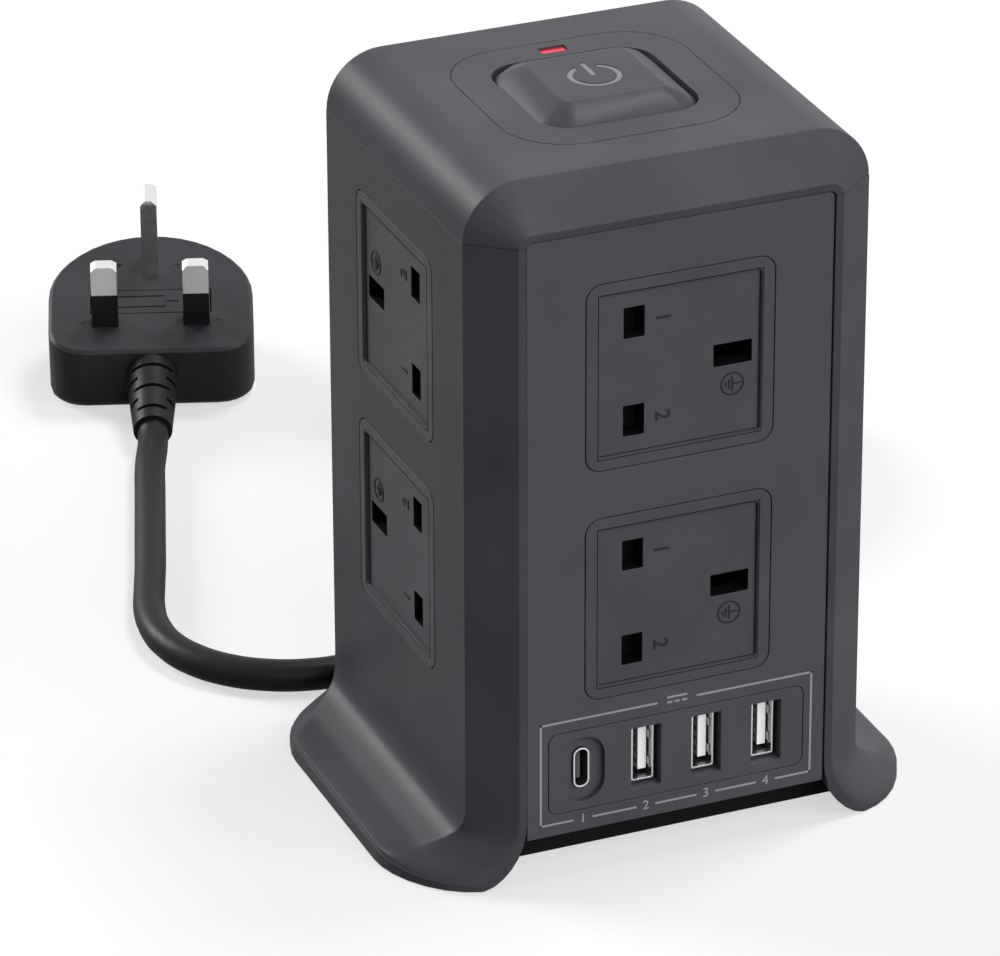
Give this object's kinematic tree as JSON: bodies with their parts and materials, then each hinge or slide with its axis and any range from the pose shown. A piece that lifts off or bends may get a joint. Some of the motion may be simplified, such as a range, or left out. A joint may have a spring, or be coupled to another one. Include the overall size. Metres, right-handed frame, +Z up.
{
  "type": "tower power strip",
  "caption": "Square upright socket tower with flared feet, shuttered mains sockets on every face, a charging port row, a push switch in the cap and a coiled mains lead with its plug.",
  "frame": {"origin": "centre of the footprint on the floor", "axes": "+Z up, -Y out of the front face with the charging ports, +X to the right seen from the front"},
  "size_m": [0.1869, 0.2956, 0.162],
  "materials": {
    "shell_plastic": "dark charcoal moulded plastic, satin",
    "button_plastic": "dark charcoal moulded plastic, satin",
    "panel_plastic": "dark charcoal moulded plastic, fine texture",
    "socket_plastic": "dark charcoal moulded plastic, fine texture",
    "base_plastic": "black moulded plastic",
    "inner_plastic": "dark moulded plastic",
    "shutter_plastic": "black moulded plastic",
    "rubber": "soft black rubber",
    "steel": "bright zinc plated steel",
    "port_metal": "bright stamped steel",
    "port_tongue": "white moulded plastic",
    "dark_tongue": "black moulded plastic",
    "brass": "pressed brass strip",
    "print_grey": "light grey inlay",
    "red_lens": "clear red lens",
    "red_button": "red moulded plastic",
    "board": "green lacquered circuit board",
    "board_parts": "components",
    "lead_cover": "smooth black cable sheath",
    "tie": "black woven strap",
    "plug_plastic": "dark moulded plastic, satin",
    "pin_sleeve": "black moulded sleeve",
    "pin_metal": "bright nickel plated",
    "fuse_body": "ceramic tube"
  },
  "bodies": {
    "housing": {"left_shell": "shell_plastic", "right_shell": "shell_plastic", "top_cap": "shell_plastic", "switch_bezel": "shell_plastic", "front_panel": "panel_plastic", "rear_panel": "panel_plastic", "port_frame": "panel_plastic", "socket_front_lower": "socket_plastic", "socket_front_upper": "socket_plastic", "socket_left_lower": "socket_plastic", "socket_left_upper": "socket_plastic", "socket_rear_lower": "socket_plastic", "socket_rear_upper": "socket_plastic", "socket_right_lower": "socket_plastic", "socket_right_upper": "socket_plastic", "base_plate": "base_plastic", "inner_frame": "inner_plastic", "cord_clamp": "inner_plastic", "switch_body": "inner_plastic", "breaker_body": "inner_plastic", "rubber_feet": "rubber", "case_screws": "steel", "shutter_springs": "steel", "button_spring": "steel", "small_port_shell": "port_metal", "wide_port_shells": "port_metal", "wide_port_tongues": "port_tongue", "small_port_tongue": "dark_tongue", "live_busbar": "brass", "neutral_busbar": "brass", "earth_busbar": "brass", "indicator_lens": "red_lens", "indicator_board": "board", "charging_board": "board", "board_parts": "board_parts", "cord_grip": "lead_cover", "lead_exit": "lead_cover", "lead_coil": "lead_cover", "lead_run": "lead_cover", "plug_grip": "lead_cover", "coil_tie": "tie", "plug_body": "plug_plastic", "pin_sleeves": "pin_sleeve", "earth_pin": "pin_metal", "line_pins": "pin_metal"},
    "shutter_front_upper": {"shutter_front_upper": "shutter_plastic"},
    "shutter_left_upper": {"shutter_left_upper": "shutter_plastic"},
    "shutter_rear_upper": {"shutter_rear_upper": "shutter_plastic"},
    "shutter_right_upper": {"shutter_right_upper": "shutter_plastic"},
    "shutter_front_lower": {"shutter_front_lower": "shutter_plastic"},
    "shutter_left_lower": {"shutter_left_lower": "shutter_plastic"},
    "shutter_rear_lower": {"shutter_rear_lower": "shutter_plastic"},
    "shutter_right_lower": {"shutter_right_lower": "shutter_plastic"},
    "button": {"power_button": "button_plastic", "power_symbol": "print_grey"},
    "reset_plunger": {"reset_button": "red_button"},
    "fuse_drawer": {"fuse_carrier": "plug_plastic", "fuse": "fuse_body"}
  },
  "joints": [
    {"name": "shutter_front_upper_slide", "type": "slide", "parent": "housing", "child": "shutter_front_upper", "axis": [-1, 0, 0], "range_m": [0, 0.0063], "stiffness_N_per_m": 100, "springref_m": -0.004, "deforming": ["shutter_springs"]},
    {"name": "shutter_left_upper_slide", "type": "slide", "parent": "housing", "child": "shutter_left_upper", "axis": [0, -1, 0], "range_m": [0, 0.0063], "stiffness_N_per_m": 100, "springref_m": -0.004, "deforming": ["shutter_springs"]},
    {"name": "shutter_rear_upper_slide", "type": "slide", "parent": "housing", "child": "shutter_rear_upper", "axis": [1, 0, 0], "range_m": [0, 0.0063], "stiffness_N_per_m": 100, "springref_m": -0.004, "deforming": ["shutter_springs"]},
    {"name": "shutter_right_upper_slide", "type": "slide", "parent": "housing", "child": "shutter_right_upper", "axis": [0, 1, 0], "range_m": [0, 0.0063], "stiffness_N_per_m": 100, "springref_m": -0.004, "deforming": ["shutter_springs"]},
    {"name": "shutter_front_lower_slide", "type": "slide", "parent": "housing", "child": "shutter_front_lower", "axis": [-1, 0, 0], "range_m": [0, 0.0063], "stiffness_N_per_m": 100, "springref_m": -0.004, "deforming": ["shutter_springs"]},
    {"name": "shutter_left_lower_slide", "type": "slide", "parent": "housing", "child": "shutter_left_lower", "axis": [0, -1, 0], "range_m": [0, 0.0063], "stiffness_N_per_m": 100, "springref_m": -0.004, "deforming": ["shutter_springs"]},
    {"name": "shutter_rear_lower_slide", "type": "slide", "parent": "housing", "child": "shutter_rear_lower", "axis": [1, 0, 0], "range_m": [0, 0.0063], "stiffness_N_per_m": 100, "springref_m": -0.004, "deforming": ["shutter_springs"]},
    {"name": "shutter_right_lower_slide", "type": "slide", "parent": "housing", "child": "shutter_right_lower", "axis": [0, 1, 0], "range_m": [0, 0.0063], "stiffness_N_per_m": 100, "springref_m": -0.004, "deforming": ["shutter_springs"]},
    {"name": "power_button_press", "type": "slide", "parent": "housing", "child": "button", "axis": [0, 0, -1], "range_m": [0, 0.003], "stiffness_N_per_m": 800, "springref_m": -0.002, "deforming": ["button_spring"]},
    {"name": "reset_button_pop", "type": "slide", "parent": "housing", "child": "reset_plunger", "axis": [0, 1, 0], "range_m": [0, 0.002]},
    {"name": "fuse_carrier_draw", "type": "slide", "parent": "housing", "child": "fuse_drawer", "axis": [-0.0697, -0.1959, 0.9781], "range_m": [0, 0.008]}
  ]
}
